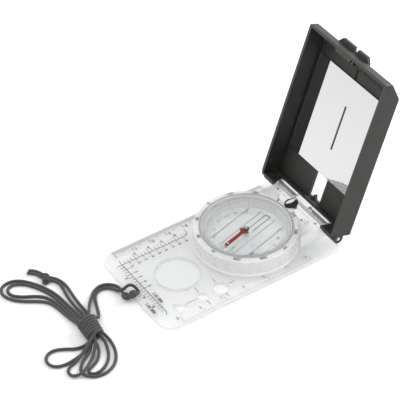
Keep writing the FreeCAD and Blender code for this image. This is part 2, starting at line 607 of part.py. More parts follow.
cord_tube("cord_loop_left", [
    (0.2, -64.2, 0.9), (-0.3, -64.3, 3.2), (-2.8, -64.9, 3.9), (-5.4, -66.2, 3.9),
    (-5.3, -68.8, 3.7), (-3.2, -71.0, 3.1)])
cord_tube("cord_loop_right", [
    (0.7, -65.2, 1.4), (1.2, -66.2, 3.3), (1.9, -68.4, 3.9), (1.6, -70.8, 3.4)])
shaped("lanyard_knot", rounded_barrel((-4.6, -72.2, 2.35), (4.4, -71.2, 2.35), 2.2, 1.9))
cord_tube("cord_lead_left", [
    (-3.4, -70.6, 2.2), (-6.6, -69.9, 1.5), (-10.1, -71.1, 1.0), (-12.9, -73.9, 0.9),
    (-14.1, -77.9, 0.9), (-13.2, -82.0, 0.9), (-10.6, -85.6, 1.3), (-7.6, -88.6, 2.0),
    (-4.8, -91.6, 2.6)])
cord_tube("cord_lead_right", [
    (-3.6, -72.3, 1.8), (-6.6, -72.3, 1.2), (-9.4, -73.5, 0.9), (-11.4, -76.0, 0.9),
    (-11.9, -79.3, 0.9), (-10.5, -82.4, 0.9), (-7.6, -84.4, 0.9), (-4.2, -85.4, 0.95),
    (-0.6, -86.3, 1.2), (2.6, -88.2, 1.8), (4.8, -91.2, 2.4)])
cord_tube("cord_free_left", [
    (-17.0, -94.6, 2.6), (-19.8, -92.4, 1.9), (-23.4, -91.0, 1.2), (-27.2, -90.9, 0.9),
    (-30.8, -92.0, 0.9), (-33.6, -94.6, 1.2)])
cord_tube("cord_free_right", [
    (-18.2, -96.2, 2.6), (-20.8, -94.1, 1.9), (-24.2, -92.7, 1.2), (-27.6, -92.7, 0.9),
    (-30.6, -93.8, 0.9), (-32.8, -96.0, 1.2)])
shaped("end_knot", rounded_barrel((-32.3, -94.3, 1.9), (-36.9, -98.4, 1.8), 1.75, 1.4))
cord_tube("cord_tail_left", [
    (-36.0, -96.2, 1.2), (-38.7, -96.4, 0.9), (-41.4, -97.6, 0.9), (-43.4, -99.8, 0.9)])
cord_tube("cord_tail_right", [
    (-36.6, -98.0, 1.2), (-38.8, -98.3, 0.9), (-40.9, -99.4, 0.9), (-42.4, -101.2, 0.9)])

# ---------------------------------------------------------------- checks and export
doc.recompute()
for obj in doc.Objects:
    states = set(obj.State)
    if "Invalid" in states or "Error" in states:
        raise RuntimeError("%s (%s) failed: %s" % (obj.Name, obj.Label, obj.State))
os.makedirs("parts", exist_ok=True)
for obj in parts:
    shape = obj.Shape
    if shape.isNull() or not shape.isValid() or not shape.Solids:
        raise RuntimeError("bad shape in " + obj.Label)
for obj in parts:
    obj.Shape.exportStep(os.path.join("parts", obj.Label + ".step"))
    b = obj.Shape.BoundBox
    print("%-18s solids %d volume %9.2f  x %.1f..%.1f y %.1f..%.1f z %.2f..%.2f" % (
        obj.Label, len(obj.Shape.Solids), obj.Shape.Volume, b.XMin, b.XMax, b.YMin, b.YMax,
        b.ZMin, b.ZMax))
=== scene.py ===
import math
import random

import bmesh
import bpy
from mathutils import Matrix, Vector


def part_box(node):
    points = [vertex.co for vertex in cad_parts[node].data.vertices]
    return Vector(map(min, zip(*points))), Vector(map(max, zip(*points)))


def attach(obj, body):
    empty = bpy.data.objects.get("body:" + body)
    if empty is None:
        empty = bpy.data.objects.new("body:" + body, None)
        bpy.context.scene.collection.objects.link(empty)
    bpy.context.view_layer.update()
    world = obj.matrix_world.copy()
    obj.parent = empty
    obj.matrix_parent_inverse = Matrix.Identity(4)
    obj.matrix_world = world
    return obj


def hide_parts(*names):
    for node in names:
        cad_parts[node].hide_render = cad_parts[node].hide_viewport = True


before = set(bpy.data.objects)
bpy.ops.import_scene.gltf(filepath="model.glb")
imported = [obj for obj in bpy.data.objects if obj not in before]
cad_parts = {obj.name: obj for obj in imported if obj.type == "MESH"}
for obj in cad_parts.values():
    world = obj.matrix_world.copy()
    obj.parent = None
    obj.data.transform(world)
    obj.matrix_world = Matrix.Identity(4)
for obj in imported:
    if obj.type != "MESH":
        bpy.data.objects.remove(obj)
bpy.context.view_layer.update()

# Sighting compass with a mirror lid.  Lengths are in millimetres.  Names that end in _m or _M,
# the places and sizes of the lamps, and the bump heights of the materials are in metres.
MM = 0.001
UP = Vector((0, 0, 1))
random.seed(7)
scene = bpy.context.scene
scene.view_settings.view_transform = "Standard"
scene.cycles.transparent_max_bounces = 32

# ---------------------------------------------------------------- camera
AZIMUTH, ELEVATION, ROLL = math.radians(56.04), math.radians(41.64), math.radians(-0.31)
AIM_M, DISTANCE_M, LENS = Vector((-12.96, -18.96, 29.38)) * MM, 0.979, 178.87


def add_camera():
    back = Vector((math.sin(AZIMUTH) * math.cos(ELEVATION),
                   -math.cos(AZIMUTH) * math.cos(ELEVATION), math.sin(ELEVATION)))
    right = Vector((math.cos(AZIMUTH), math.sin(AZIMUTH), 0.0))
    above = back.cross(right)
    right, above = (right * math.cos(ROLL) + above * math.sin(ROLL),
                    above * math.cos(ROLL) - right * math.sin(ROLL))
    data = bpy.data.cameras.new("camera")
    data.lens, data.clip_start, data.clip_end = LENS, 0.05, 20.0
    camera = bpy.data.objects.new("camera", data)
    turned = Matrix((right, above, back)).transposed().to_4x4()
    camera.matrix_world = Matrix.Translation(AIM_M + back * DISTANCE_M) @ turned
    scene.collection.objects.link(camera)
    scene.camera = camera


add_camera()


# ---------------------------------------------------------------- material helpers
# Nearly all of a noise pattern lies between these two values.
NOISE_LOW, NOISE_HIGH = 0.3, 0.7
BRAID_PITCH = 2.2       # length of one turn of the braid's strands, in cord diameters
BRAID_STRANDS = 4       # strands that lie side by side round the cord, each way


class Shader:
    """A new material with one Principled node, and short calls to feed it patterns."""

    def __init__(self, name, colour, roughness, **sockets):
        self.material = bpy.data.materials.new(name)
        self.material.use_nodes = True
        self.nodes = self.material.node_tree.nodes
        self.links = self.material.node_tree.links
        self.main = self.nodes["Principled BSDF"]
        self.set("Base Color", (*colour, 1.0))
        self.set("Roughness", roughness)
        for socket, value in sockets.items():
            self.set(socket.replace("_", " "), value)

    def set(self, socket, value):
        self.main.inputs[socket].default_value = value

    def node(self, kind, **values):
        node = self.nodes.new(kind)
        for key, value in values.items():
            if key in node.inputs:
                node.inputs[key].default_value = value
            else:
                setattr(node, key, value)
        return node

    def noise(self, scale, detail=3.0, stretch=(1.0, 1.0, 1.0)):
        """A noise pattern in object space: scale is in cells per metre."""
        where = self.node("ShaderNodeTexCoord")
        mapping = self.node("ShaderNodeMapping")
        mapping.inputs["Scale"].default_value = stretch
        pattern = self.node("ShaderNodeTexNoise", Scale=scale, Detail=detail)
        self.links.new(where.outputs["Object"], mapping.inputs["Vector"])
        self.links.new(mapping.outputs["Vector"], pattern.inputs["Vector"])
        return pattern.outputs["Fac"]

    def between(self, fac, low, high, socket):
        """Spread a pattern between two numbers and feed it to a socket."""
        span = self.node("ShaderNodeMapRange")
        span.inputs["From Min"].default_value = NOISE_LOW
        span.inputs["From Max"].default_value = NOISE_HIGH
        span.inputs["To Min"].default_value = low
        span.inputs["To Max"].default_value = high
        self.links.new(fac, span.inputs["Value"])
        self.links.new(span.outputs["Result"], self.main.inputs[socket])

    def colours(self, fac, dark, light):
        """Spread a pattern between two colours and feed it to the base colour."""
        ramp = self.node("ShaderNodeValToRGB")
        ends = zip(ramp.color_ramp.elements, (NOISE_LOW, NOISE_HIGH), (dark, light))
        for end, position, colour in ends:
            end.position, end.color = position, (*colour, 1.0)
        self.links.new(fac, ramp.inputs["Fac"])
        self.links.new(ramp.outputs["Color"], self.main.inputs["Base Color"])

    def bump(self, fac, strength, height):
        """Raise the surface by a pattern: height is in metres."""
        node = self.node("ShaderNodeBump", Strength=strength, Distance=height)
        self.links.new(fac, node.inputs["Height"])
        self.links.new(node.outputs["Normal"], self.main.inputs["Normal"])

    def seen_through(self, share, tint):
        """A share of straight, tinted sight through the piece, and lamps shine through it."""
        clear = self.node("ShaderNodeBsdfTransparent")
        clear.inputs["Color"].default_value = (*tint, 1.0)
        sight = self.node("ShaderNodeMixShader")
        sight.inputs["Fac"].default_value = share
        self.links.new(self.main.outputs["BSDF"], sight.inputs[1])
        self.links.new(clear.outputs["BSDF"], sight.inputs[2])
        path = self.node("ShaderNodeLightPath")
        lamps = self.node("ShaderNodeMixShader")
        self.links.new(path.outputs["Is Shadow Ray"], lamps.inputs["Fac"])
        self.links.new(sight.outputs["Shader"], lamps.inputs[1])
        self.links.new(clear.outputs["BSDF"], lamps.inputs[2])
        self.links.new(lamps.outputs["Shader"], self.nodes["Material Output"].inputs["Surface"])


def clear_plastic(name, haze, tint, share, roughness=0.06, uneven=0.25):
    """Clear plastic: mostly straight, tinted sight, with a glossy and slightly milky skin."""
    shader = Shader(name, haze, roughness, IOR=1.8)
    dark = tuple(value * (1.0 - uneven * 0.2) for value in haze)
    shader.colours(shader.noise(scale=140.0), dark, haze)
    shader.between(shader.noise(scale=900.0), roughness * 0.7, roughness * 1.6, "Roughness")
    shader.bump(shader.noise(scale=260.0, detail=2.0), strength=0.05, height=0.00003)
    shader.seen_through(share, tint)
    return shader.material


def moulded_plastic(name, dark, light, roughness):
    """Opaque plastic with a fine spark-eroded grain."""
    shader = Shader(name, light, roughness, Specular_IOR_Level=0.45)
    shader.colours(shader.noise(scale=120.0, detail=4.0), dark, light)
    shader.between(shader.noise(scale=2200.0), roughness - 0.07, roughness + 0.07, "Roughness")
    shader.bump(shader.noise(scale=5200.0, detail=2.0), strength=0.22, height=0.00006)
    return shader.material


def painted(name, dark, light, roughness, gloss=0.5):
    """Paint, ink or film: uneven in colour and in roughness, and without grain."""
    shader = Shader(name, light, roughness, Specular_IOR_Level=gloss)
    shader.colours(shader.noise(scale=700.0), dark, light)
    shader.between(shader.noise(scale=1800.0), roughness * 0.8, roughness * 1.2, "Roughness")
    return shader.material


def ground_steel(name, stretch, metallic):
    """Steel with grinding lines, drawn out along the axis whose stretch is small."""
    shader = Shader(name, (0.62, 0.62, 0.61), 0.25, Metallic=metallic)
    lines = shader.noise(2600.0, 4.0, stretch)
    shader.colours(lines, (0.62, 0.62, 0.62), (0.8, 0.8, 0.79))
    shader.between(lines, 0.16, 0.34, "Roughness")
    shader.bump(lines, strength=0.15, height=0.00002)
    return shader.material


def silvered(name):
    """Mirror glass, almost without roughness."""
    shader = Shader(name, (0.64, 0.645, 0.64), 0.015, Metallic=1.0)
    shader.between(shader.noise(scale=300.0), 0.006, 0.03, "Roughness")
    return shader.material


def braid(name, length_mm, diameter_mm):
    """Round braid: two crossing sets of strands in the curve's own length and turn."""
    shader = Shader(name, (0.05, 0.05, 0.048), 0.85, Sheen_Weight=0.25, Sheen_Roughness=0.5)
    where = shader.node("ShaderNodeTexCoord")
    split = shader.node("ShaderNodeSeparateXYZ")
    shader.links.new(where.outputs["UV"], split.inputs[0])
    rounds = length_mm / (BRAID_PITCH * diameter_mm)
    once_round = BRAID_STRANDS * 2.0 * math.pi
    waves = []
    for sign in (-1.0, 1.0):
        along = shader.node("ShaderNodeMath", operation="MULTIPLY")
        along.inputs[1].default_value = sign * rounds * once_round
        around = shader.node("ShaderNodeMath", operation="MULTIPLY_ADD")
        around.inputs[1].default_value = once_round
        wave = shader.node("ShaderNodeMath", operation="SINE")
        shader.links.new(split.outputs["X"], along.inputs[0])
        shader.links.new(split.outputs["Y"], around.inputs[0])
        shader.links.new(along.outputs[0], around.inputs[2])
        shader.links.new(around.outputs[0], wave.inputs[0])
        waves.append(wave)
    top = shader.node("ShaderNodeMath", operation="MAXIMUM")
    shader.links.new(waves[0].outputs[0], top.inputs[0])
    shader.links.new(waves[1].outputs[0], top.inputs[1])
    spread = shader.node("ShaderNodeMapRange")
    spread.inputs["From Min"].default_value = -0.6
    spread.inputs["To Min"].default_value = 0.2
    spread.inputs["To Max"].default_value = 0.8
    shader.links.new(top.outputs[0], spread.inputs["Value"])
    # Painted shade: the same strand pattern makes the grooves between the strands darker and
    # their crowns lighter.
    shader.colours(spread.outputs["Result"], (0.026, 0.026, 0.025), (0.07, 0.07, 0.067))
    shader.bump(spread.outputs["Result"], strength=0.6, height=0.00012)
    return shader.material


# ---------------------------------------------------------------- neck cord
# The two strands of the neck cord, each from the hole in the plate to its frayed tip.
# Each goes round the small loop, along its lead, through the hank and its loops, and out
# to the end knot.  z is the height of the cord's middle over the floor.
CORD = 1.6
WRAP_TURNS, WRAP_STEPS, WRAP_PITCH = 6.25, 12, 1.72
WRAP_X, WRAP_Y, WRAP_Z = 4.6, -97.0, 3.65       # middle of the first turn
WRAP_HALF_WIDTH, WRAP_HALF_HEIGHT = 4.8, 2.85
WRAP_NARROWS, WRAP_DRIFTS, WRAP_SLANT = 0.8, 1.2, 0.1


def wrap_points():
    """The turns that bind the hank, wound over its bundle and narrowing to the right."""
    points = []
    for step in range(int(WRAP_TURNS * WRAP_STEPS) + 1):
        turn = 2.0 * math.pi * step / WRAP_STEPS
        share = step / (WRAP_TURNS * WRAP_STEPS)
        off = (WRAP_HALF_WIDTH - WRAP_NARROWS * share) * math.cos(turn)
        points.append((WRAP_X + WRAP_PITCH * step / WRAP_STEPS - WRAP_SLANT * off,
                       WRAP_Y - WRAP_DRIFTS * share + off,
                       WRAP_Z + WRAP_HALF_HEIGHT * math.sin(turn)))
    return points


# The strand on the loop's left leg, which binds the hank.
BINDING_STRAND = [
    (0.2, -64.2, 0.9), (0.1, -64.6, 3.0), (-1.3, -65.1, 4.2), (-3.6, -65.8, 4.5),
    (-4.6, -67.8, 4.1), (-4.2, -70.0, 3.2), (-5.6, -72.0, 2.0), (-9.0, -72.9, 1.1),
    (-12.0, -75.2, 0.9), (-12.8, -78.8, 0.9), (-11.2, -82.2, 0.9), (-7.8, -84.3, 0.9),
    (-4.2, -85.8, 0.95), (-0.6, -87.2, 1.0), (2.6, -88.6, 1.2), (4.4, -90.0, 2.0),
    *wrap_points(),
    # over the end of the hank, and round the small loop at the bottom
    (17.0, -102.4, 4.4), (19.0, -106.0, 2.8), (21.2, -110.0, 2.2), (22.8, -114.0, 1.0),
    (23.4, -117.8, 0.8), (25.8, -120.4, 0.8), (29.2, -120.2, 0.8), (31.4, -117.2, 1.8),
    (30.6, -113.4, 2.5), (27.8, -110.2, 1.4), (25.4, -107.0, 0.9), (22.6, -103.6, 1.8),
    (18.4, -100.2, 3.0), (14.0, -98.4, 2.6),
    # back along the hank, and round the inner loop on the left
    (10.0, -98.2, 2.4), (4.6, -97.6, 2.3), (-1.4, -98.0, 1.4), (-8.0, -98.5, 0.9),
    (-14.0, -99.0, 0.8), (-19.4, -99.4, 0.8), (-24.8, -100.6, 0.8), (-30.6, -103.0, 0.8),
    (-36.2, -106.5, 0.8), (-39.5, -110.8, 0.8), (-39.4, -114.6, 0.8), (-36.6, -117.0, 0.8),
    (-32.6, -116.0, 0.8), (-29.2, -111.8, 0.8), (-26.6, -107.0, 0.8), (-23.2, -103.2, 0.8),
    (-18.6, -101.4, 0.8), (-13.0, -100.6, 0.8), (-7.0, -100.0, 0.9), (-1.0, -99.4, 1.4),
    (5.0, -98.8, 3.6), (10.0, -99.4, 4.0), (14.2, -99.9, 3.7),
    # the inner loop on the right
    (18.6, -100.0, 2.8), (23.2, -101.2, 1.8), (27.0, -104.4, 0.8), (28.9, -108.2, 0.8),
    (30.2, -111.6, 0.8), (32.6, -112.4, 0.8), (34.2, -110.0, 0.8), (33.9, -106.4, 0.8),
    (32.0, -102.9, 0.8), (28.8, -99.5, 0.8), (24.2, -97.0, 0.8), (18.8, -95.4, 1.6),
    (14.0, -96.0, 3.4),
    # back along the hank, and out to the end knot
    (9.0, -96.0, 4.0), (4.0, -95.2, 3.6), (-2.0, -94.4, 1.6), (-8.0, -94.6, 0.9),
    (-14.0, -94.6, 0.9), (-19.6, -93.9, 1.0), (-24.2, -92.9, 1.0), (-27.6, -92.7, 0.9),
    (-30.6, -93.8, 0.9), (-32.8, -96.0, 1.2), (-36.6, -98.0, 1.2), (-38.8, -98.3, 0.9),
    (-40.9, -99.4, 0.9), (-42.2, -101.0, 0.9)]

# The strand on the loop's right leg, which makes up most of the hank's loops.
LOOPED_STRAND = [
    (0.8, -65.0, 1.5), (1.5, -66.0, 3.5), (2.6, -68.1, 4.1), (2.0, -70.4, 3.6),
    (-0.3, -71.8, 2.7), (-3.4, -71.2, 2.0), (-7.2, -70.0, 1.4), (-11.0, -70.9, 1.0),
    (-14.0, -73.8, 0.9), (-14.9, -77.6, 0.9), (-13.4, -81.6, 0.9), (-10.4, -84.8, 1.2),
    (-7.2, -87.6, 1.8), (-4.2, -89.9, 2.4), (-0.8, -92.0, 3.2), (3.2, -94.6, 3.8),
    (8.0, -96.8, 4.0), (13.0, -98.6, 4.0),
    # the big loop at the bottom left
    (15.8, -101.0, 3.0), (16.4, -104.8, 1.4), (15.2, -109.4, 0.8), (12.4, -113.4, 0.8),
    (10.2, -117.6, 0.8), (10.2, -121.6, 0.8), (12.8, -124.8, 0.8), (16.8, -125.4, 0.8),
    (20.2, -123.0, 0.8), (21.3, -118.4, 0.8), (20.7, -112.6, 0.8), (19.3, -107.0, 0.9),
    (17.6, -102.6, 1.8), (14.6, -99.0, 2.4),
    # back along the hank, and round the outer loop on the left
    (10.0, -96.6, 2.4), (4.0, -95.9, 2.3), (-2.0, -96.4, 1.4), (-8.0, -96.8, 0.9),
    (-14.0, -97.2, 0.8), (-19.4, -97.6, 0.8), (-24.6, -98.6, 0.8), (-30.2, -100.8, 0.8),
    (-36.4, -104.3, 0.8), (-41.0, -108.4, 0.8), (-42.6, -113.6, 0.8), (-40.8, -118.4, 0.8),
    (-36.3, -120.0, 0.8), (-31.0, -118.0, 0.8), (-26.4, -113.4, 0.8), (-22.8, -107.6, 0.8),
    (-18.6, -103.4, 0.8), (-13.0, -102.2, 0.8), (-7.0, -101.6, 0.9), (-1.0, -100.8, 1.4),
    (4.0, -99.6, 2.3), (9.0, -99.8, 2.4), (13.0, -100.6, 2.3),
    # the outer loop on the right
    (17.0, -101.8, 1.6), (20.0, -104.6, 0.9), (22.4, -108.4, 0.8), (25.0, -112.2, 0.8),
    (28.6, -115.2, 0.8), (32.8, -114.8, 0.8), (36.0, -110.8, 0.8), (36.6, -105.0, 0.8),
    (34.2, -99.6, 0.8), (29.8, -95.8, 0.8), (24.4, -93.6, 0.8), (18.6, -92.7, 0.9),
    (14.0, -93.6, 1.8),
    # back along the hank, and out to the end knot
    (9.0, -94.4, 2.4), (4.0, -93.6, 2.3), (-2.0, -92.4, 1.4), (-8.0, -92.2, 0.9),
    (-13.6, -92.0, 1.0), (-18.6, -91.4, 1.0), (-23.4, -90.8, 1.0), (-27.2, -90.9, 0.9),
    (-30.8, -92.0, 0.9), (-33.6, -94.6, 1.2), (-36.0, -96.2, 1.2), (-38.7, -96.4, 0.9),
    (-41.4, -97.6, 0.9), (-43.2, -99.4, 0.9)]


def link_piece(name, data, material=None):
    """Put a mesh or curve in the scene as a new piece."""
    piece = bpy.data.objects.new(name, data)
    if material:
        data.materials.append(material)
    scene.collection.objects.link(piece)
    return piece


def round_curve(name, radius, bevel_steps):
    """Curve data, still without splines, that is drawn as a round tube."""
    data = bpy.data.curves.new(name, "CURVE")
    data.dimensions = "3D"
    data.bevel_depth = radius * MM
    data.bevel_resolution = bevel_steps
    return data


def smooth_spline(data, points):
    """Add a smooth line led by the points, from the first to the last."""
    spline = data.splines.new("NURBS")
    spline.points.add(len(points) - 1)
    for place, point in zip(spline.points, points):
        place.co = (*(Vector(point) * MM), 1.0)
    spline.order_u = 3
    spline.use_endpoint_u = True


def cord_curve(name, points, radius):
    """A round cord whose middle line is a smooth curve led by the points."""
    data = round_curve(name, radius, 4)
    data.resolution_u = 6
    data.use_fill_caps = True
    smooth_spline(data, points)
    return link_piece(name, data)


def line_length(piece):
    """Length of a curve's own line, in metres."""
    bare = piece.data.copy()
    bare.bevel_depth = 0.0
    twin = bpy.data.objects.new("twin", bare)
    mesh = bpy.data.meshes.new_from_object(twin)
    places = [v.co.copy() for v in mesh.vertices]
    bpy.data.meshes.remove(mesh)
    bpy.data.objects.remove(twin)
    bpy.data.curves.remove(bare)
    return sum((b - a).length for a, b in zip(places, places[1:]))


def coil_points(start, end, radius, turns, first=0.0, squash=0.8):
    """Points of the turns of cord that make up a knot drawn tight between two points."""
    start, end = Vector(start), Vector(end)
    along = (end - start).normalized()
    side = along.cross(UP).normalized()
    above = side.cross(along)
    steps = int(turns * WRAP_STEPS)
    points = []
    for step in range(steps + 1):
        turn = first + 2.0 * math.pi * step / WRAP_STEPS
        middle = start.lerp(end, step / steps)
        points.append(middle + side * radius * math.cos(turn)
                      + above * radius * squash * math.sin(turn))
    return points


PULLED_TIGHT = 0.98     # the cord's thickness in a knot, as a share of its own


def knot(name, node, turns_at):
    """A knot of a few lumpy turns of the same cord, in place of its plain solid."""
    points = []
    for start, end, radius, turns, first in turns_at:
        points += coil_points(start, end, radius, turns, first)
    piece = cord_curve(name, points, CORD / 2 * PULLED_TIGHT)
    piece.data.materials.append(knot_cord)
    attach(piece, "base")
    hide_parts(node)
    return piece


FIBRE = 0.11            # radius of one fibre
FIBRE_SPREAD = 0.55     # radius of the bunch where it leaves the cord
FIBRE_LOWEST = 0.15     # height of the lowest fibre's middle over the floor


def frayed_tip(name, tip, heading, count, reach):
    """The open fibres at a cut end, each a thin curved hair."""
    data = round_curve(name, FIBRE, 1)
    tip, heading = Vector(tip), Vector(heading).normalized()
    side = heading.cross(UP).normalized()
    for number in range(count):
        turn = 2.0 * math.pi * number / count
        spread = FIBRE_SPREAD * math.sqrt(random.random())
        off = side * spread * math.cos(turn) + UP * spread * math.sin(turn)
        bend = side * random.uniform(-1.0, 1.0) * reach * 0.5
        long = reach * random.uniform(0.6, 1.0)
        fibre = [tip + off - heading, tip + off, tip + off * 1.5 + heading * long * 0.6,
                 tip + off * 1.8 + heading * long + bend]
        smooth_spline(data, [(*point.xy, max(point.z, FIBRE_LOWEST)) for point in fibre])
    piece = link_piece(name, data, knot_cord)
    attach(piece, "base")
    return piece


KNOT_CORD_LONG = 60.0   # about the length of cord in a knot, which sets its braid's turns
knot_cord = braid("cord_short_braid", KNOT_CORD_LONG, CORD)
lanyard_knot = knot("lanyard_knot_turns", "lanyard_knot", [
    ((0.6, -72.5, 2.4), (-0.7, -69.7, 2.8), 1.7, 2.0, 0.6),
    ((0.5, -68.2, 3.6), (2.6, -68.4, 3.0), 1.4, 2.0, 1.2)])
end_knot = knot("end_knot_turns", "end_knot", [
    ((-35.4, -95.8, 1.9), (-31.0, -98.2, 1.8), 1.2, 3.0, 0.5)])
left_tip = frayed_tip("frayed_tip_left", (-43.2, -99.4, 0.9), (-1.8, -1.8, 0.0), 26, 1.6)
right_tip = frayed_tip("frayed_tip_right", (-42.2, -101.0, 0.9), (-1.3, -1.6, 0.0), 26, 1.4)

# Each strand with the plain solids that it stands for and the pieces that are on it.
strands = (
    ("neck_cord_binding", BINDING_STRAND,
     ("cord_loop_left", "cord_lead_right", "hank_body", "cord_free_right", "cord_tail_right"),
     [right_tip]),
    ("neck_cord_looped", LOOPED_STRAND,
     ("cord_loop_right", "cord_lead_left", "hank_loops_left", "hank_loops_right",
      "cord_free_left", "cord_tail_left"),
     [lanyard_knot, end_knot, left_tip]))
for name, points, nodes, on_it in strands:
    strand = cord_curve(name, points, CORD / 2)
    long_m = line_length(strand)
    strand.data.materials.append(braid(name + "_braid", long_m / MM, CORD))
    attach(strand, "base")
    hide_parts(*nodes)

# ---------------------------------------------------------------- materials of the parts
acrylic = clear_plastic("clear_acrylic", (0.88, 0.885, 0.885), (0.965, 0.967, 0.967), 0.88)
# Painted shade: the plate's upright faces are darker and less clear, standing in for the dark
# edges that clear plastic shows.
painted_shade_acrylic_edge = clear_plastic("painted_shade_acrylic_edge", (0.72, 0.725, 0.725), (0.95, 0.95, 0.95), 0.7,
                             roughness=0.2)
lens_acrylic = clear_plastic("lens_acrylic", (0.93, 0.935, 0.935), (0.975, 0.977, 0.977), 0.93,
                             roughness=0.03)
capsule_plastic = clear_plastic("capsule_plastic", (0.9, 0.905, 0.905), (0.995, 0.997, 0.997),
                                0.975, roughness=0.03)
# Painted shade: the cup's upright wall is darker and less clear, standing in for the grey band
# seen through the window.
painted_shade_capsule_wall = clear_plastic("painted_shade_capsule_wall", (0.66, 0.665, 0.665), (0.96, 0.96, 0.96), 0.8,
                             roughness=0.05)
disc_plastic = clear_plastic("disc_plastic", (0.93, 0.935, 0.935), (0.99, 0.992, 0.992), 0.7)
ring_plastic = clear_plastic("ring_plastic", (0.94, 0.94, 0.94), (0.98, 0.98, 0.98), 0.45,
                             roughness=0.25, uneven=0.2)
arm_plastic = clear_plastic("arm_plastic", (0.84, 0.90, 0.93), (0.965, 0.98, 0.985), 0.85)
# Painted shade: the upright faces of the ring's flutes are darker than the rest of the ring.
painted_shade_ring_flute = clear_plastic("painted_shade_ring_flute", (0.78, 0.785, 0.785), (0.95, 0.95, 0.95), 0.45,
                           roughness=0.25)
# Painted highlight: the ends of the hinge block and its barrel are whiter and less clear than the
# plate.
painted_highlight_end = clear_plastic("painted_highlight_end", (0.92, 0.925, 0.925), (0.98, 0.98, 0.98), 0.25,
                            roughness=0.2)
slot_shade = clear_plastic("slot_shade", (0.10, 0.10, 0.10), (0.5, 0.5, 0.5), 0.35,
                           roughness=0.3)
black_plastic = moulded_plastic("black_plastic", (0.040, 0.040, 0.037), (0.050, 0.050, 0.046),
                                0.52)
# Painted shade: the lid's outer right side is darker than the rest of the same black plastic.
painted_shade_outer = moulded_plastic("painted_shade_outer", (0.020, 0.020, 0.0185), (0.026, 0.026, 0.024), 0.6)
# Painted light: the tray's floor and the slope at its free end are lighter than the other inside
# faces of the same plastic.
painted_light_floor = moulded_plastic("painted_light_floor", (0.026, 0.026, 0.024), (0.034, 0.034, 0.0315), 0.55)
# Painted shade: the lid's inside faces are darker than its plain black plastic, standing in for
# the shade in the tray.
painted_shade_inside = moulded_plastic("painted_shade_inside", (0.015, 0.015, 0.014), (0.021, 0.021, 0.019), 0.6)
index_black = moulded_plastic("index_black", (0.008, 0.008, 0.008), (0.014, 0.014, 0.014), 0.4)
steel_pin = ground_steel("steel_pin", (0.1, 1.0, 1.0), metallic=0.3)
steel_point = ground_steel("steel_point", (1.0, 1.0, 0.2), metallic=1.0)
lume = painted("lume", (0.72, 0.74, 0.68), (0.82, 0.84, 0.78), 0.6)
lume_green = painted("lume_green", (0.42, 0.60, 0.52), (0.55, 0.74, 0.64), 0.5)
needle_red = painted("needle_red", (0.21, 0.001, 0.003), (0.28, 0.002, 0.005), 0.45,
                     gloss=0.05)
needle_pale = painted("needle_pale", (0.80, 0.45, 0.45), (0.9, 0.6, 0.6), 0.5)
clino_orange = painted("clino_orange", (0.20, 0.11, 0.04), (0.32, 0.18, 0.07), 0.45)
adhesive = painted("adhesive", (0.24, 0.24, 0.24), (0.34, 0.34, 0.34), 0.7)
ink = painted("ink", (0.025, 0.025, 0.025), (0.06, 0.06, 0.06), 0.5)
grey_ink = painted("grey_ink", (0.24, 0.24, 0.24), (0.34, 0.34, 0.34), 0.5)
jewel_stone = Shader("jewel_stone", (0.2, 0.32, 0.26), 0.08, Coat_Weight=0.6)
jewel_stone.colours(jewel_stone.noise(scale=1500.0), (0.10, 0.18, 0.14), (0.34, 0.46, 0.39))
mirror_silver = silvered("mirror_silver")

FINISHES = {
    "baseplate": acrylic, "magnifier_lens": lens_acrylic, "index_pointer": index_black,
    "index_lume": lume, "lume_dot_left": lume, "lume_dot_right": lume,
    "hinge_pin": steel_pin, "bezel_ring": ring_plastic, "capsule_cup": capsule_plastic,
    "capsule_window": capsule_plastic, "retaining_ring": capsule_plastic,
    "orienting_disc": disc_plastic, "north_lume_left": lume_green,
    "north_lume_right": lume_green, "pivot_pin": steel_point, "compass_needle": needle_red,
    "needle_lume": needle_pale, "needle_hub": index_black,
    "pivot_jewel": jewel_stone.material, "clinometer_arm": arm_plastic,
    "clinometer_tip": clino_orange, "lid_cover": black_plastic, "mirror_pad": adhesive,
    "mirror": mirror_silver,
}
for node, material in FINISHES.items():
    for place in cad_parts[node].material_slots:
        place.material = material


def second_finish(node, material, wanted):
    """Give a part's chosen faces, told by their middle and normal in mm, another finish."""
    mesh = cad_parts[node].data
    mesh.materials.append(material)
    number = len(mesh.materials) - 1
    for face in mesh.polygons:
        if wanted(Vector(face.center) / MM, Vector(face.normal)):
            face.material_index = number


# The lid as it stands at rest: LID_ALONG runs from the hinge to its free end, LID_OUT from its
# back to its open side, and LID_FOOT lies under the hinge, in the plane of its back.
LID_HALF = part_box("lid_cover")[1].x / MM
LID_LEAN = math.radians(71.2)
LID_ALONG = Vector((0, math.cos(LID_LEAN), math.sin(LID_LEAN)))
LID_OUT = Vector((0, -math.sin(LID_LEAN), math.cos(LID_LEAN)))
LID_FOOT = Vector((0, 35.0, 7.7)) - LID_OUT * 7.5
LID_WALL, LID_SIDE_ROUND = 1.5, 1.2
TRAY_LOW, TRAY_HIGH = 1.4, 12.5     # along LID_OUT, between the floor and the rim
TRAY_START, TRAY_END = 1.9, 88.1    # along LID_ALONG
PLATE_TOP, BLOCK_TOP = 2.2, 9.6
BLOCK_HALF = 20.0
BARREL_Y, BARREL_SLOT_FLOOR = 34.85, 10.1
CUP_SIDE_LOW = 6.5
FLUTES_LOW, FLUTES_INNER, FLUTES_OUTER = 4.5, 25.0, 27.0


def inside_lid(middle, normal):
    along, out = (middle - LID_FOOT).dot(LID_ALONG), (middle - LID_FOOT).dot(LID_OUT)
    return (abs(middle.x) < LID_HALF - LID_WALL and TRAY_LOW < out < TRAY_HIGH
            and TRAY_START < along < TRAY_END)


def inside_floor(middle, normal):
    """The floor of the tray and the slope at its free end, with painted light: lighter than the
    other inside faces, where they catch more light.
    """
    return inside_lid(middle, normal) and normal.dot(LID_OUT) > 0.5


